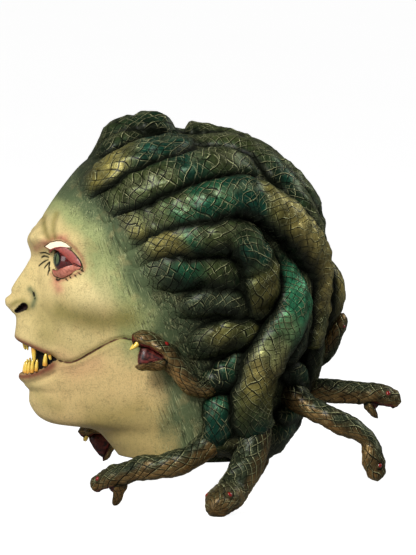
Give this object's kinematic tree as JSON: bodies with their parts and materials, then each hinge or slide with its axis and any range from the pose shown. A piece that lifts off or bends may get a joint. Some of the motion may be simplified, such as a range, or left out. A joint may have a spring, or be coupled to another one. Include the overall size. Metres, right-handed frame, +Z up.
{
  "type": "full-head latex mask",
  "caption": "Full-head latex mask of a gorgon with scaly hair snakes, bared fangs and painted eyes, worn over the head and open at the neck.",
  "frame": {"origin": "centre of the footprint of the bounding box, on the table the mask stands on", "axes": "+Z up, the face looks towards -Y, the mask's own left side is +X"},
  "size_m": [0.235, 0.3165, 0.3085],
  "materials": {
    "painted_skin": "latex, cream face airbrushed to dark green hair snakes, satin",
    "painted_snake": "latex, dark green backs over brown bellies, satin"
  },
  "bodies": {
    "root": {"head_skin": "painted_skin", "cheek_snake_left": "painted_snake", "throat_snake_left": "painted_snake", "bottom_snake_left": "painted_snake", "nape_snake_left": "painted_snake", "nape_snake_middle": "painted_snake", "back_snake": "painted_snake", "cheek_snake_right": "painted_snake", "throat_snake_right": "painted_snake", "bottom_snake_right": "painted_snake", "side_snake_right": "painted_snake"}
  },
  "joints": []
}
